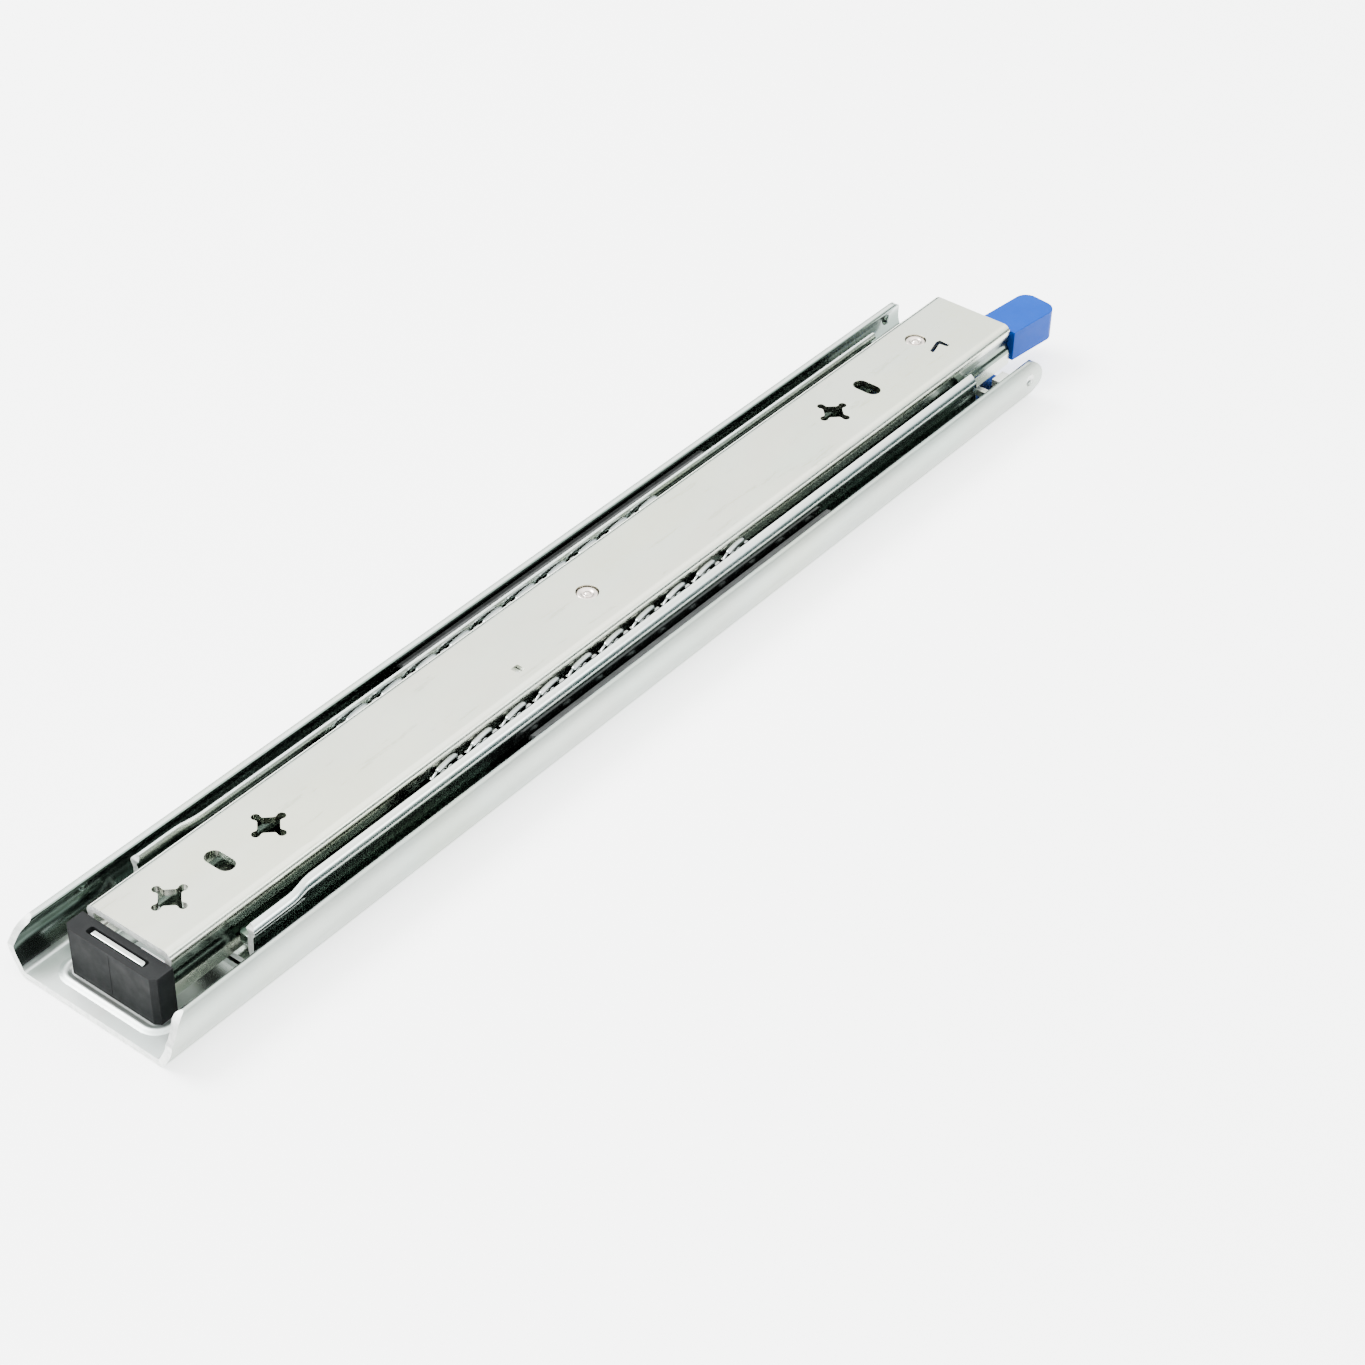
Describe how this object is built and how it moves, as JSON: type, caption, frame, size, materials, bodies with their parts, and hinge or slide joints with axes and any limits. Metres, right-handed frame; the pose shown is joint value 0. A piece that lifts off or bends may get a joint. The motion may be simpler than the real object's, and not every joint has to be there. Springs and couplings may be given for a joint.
{
  "type": "drawer slide",
  "caption": "Full-extension ball-bearing drawer slide in three nested steel channels, with a rear rubber bumper and a front lever that frees the closed and open locks.",
  "frame": {"origin": "middle of the cabinet face: the middle of the outer rail's back, on the surface that lies against the cabinet side", "axes": "+X along the slide towards the drawer front, the way it extends; +Z out of the cabinet side towards the drawer; +Y across the rail"},
  "size_m": [0.3729, 0.053, 0.0191],
  "materials": {
    "zinc_steel": "bright zinc plating, smooth rolled sheet with soft reflections",
    "rubber": "charcoal rubber, matt",
    "dark_cage": "black phosphated sheet, satin",
    "bright_cage": "bright zinc plating",
    "ball_steel": "polished bearing steel",
    "rivet_steel": "plated steel, satin",
    "spring_steel": "drawn spring wire",
    "lock_steel": "zinc-plated pressed steel",
    "blue_plastic": "moulded blue nylon, soft gloss"
  },
  "bodies": {
    "outer": {"outer_rail": "zinc_steel", "rear_bumper": "rubber"},
    "outer_cages": {"outer_cage_left": "dark_cage", "outer_cage_right": "dark_cage", "outer_balls_left": "ball_steel", "outer_balls_right": "ball_steel"},
    "middle": {"middle_rail": "zinc_steel", "lockout_catch": "lock_steel", "catch_rivets": "rivet_steel"},
    "inner_cages": {"inner_cage_left": "bright_cage", "inner_cage_right": "bright_cage", "inner_balls_left": "ball_steel", "inner_balls_right": "ball_steel"},
    "inner": {"inner_rail": "zinc_steel", "lever_rivet": "rivet_steel", "pawl_rivet": "rivet_steel", "travel_stop": "lock_steel", "lever_spring": "spring_steel", "pawl_spring": "spring_steel"},
    "lever": {"release_lever": "blue_plastic", "lock_hook": "lock_steel"},
    "link": {"link_rod": "lock_steel"},
    "pawl": {"lockout_pawl": "lock_steel"}
  },
  "joints": [
    {"name": "middle_slide", "type": "slide", "parent": "outer", "child": "middle", "axis": [1, 0, 0], "range_m": [0, 0.175]},
    {"name": "inner_slide", "type": "slide", "parent": "middle", "child": "inner", "axis": [1, 0, 0], "range_m": [0, 0.175]},
    {"name": "outer_cage_slide", "type": "slide", "parent": "outer", "child": "outer_cages", "axis": [1, 0, 0], "range_m": [0, 0.0875]},
    {"name": "inner_cage_slide", "type": "slide", "parent": "middle", "child": "inner_cages", "axis": [1, 0, 0], "range_m": [0, 0.0875]},
    {"name": "lever_hinge", "type": "hinge", "parent": "inner", "child": "lever", "pos_m": [0.1527, 0.0036, 0.0141], "axis": [0, 0, 1], "range_deg": [0, 5.01], "stiffness_Nm_per_rad": 0.8},
    {"name": "link_slide", "type": "slide", "parent": "inner", "child": "link", "axis": [1, 0, 0], "range_m": [0, 0.00103]},
    {"name": "pawl_hinge", "type": "hinge", "parent": "inner", "child": "pawl", "pos_m": [0, 0, 0.0144], "axis": [0, 0, 1], "range_deg": [0, 7.2]}
  ],
  "couplings": [
    {"joint": "outer_cage_slide", "follows": "middle_slide", "ratio": 0.5},
    {"joint": "inner_cage_slide", "follows": "inner_slide", "ratio": 0.5},
    {"joint": "lever_hinge", "follows": "link_slide", "rad_per_m": 84.746},
    {"joint": "pawl_hinge", "follows": "link_slide", "rad_per_m": 121.95}
  ]
}
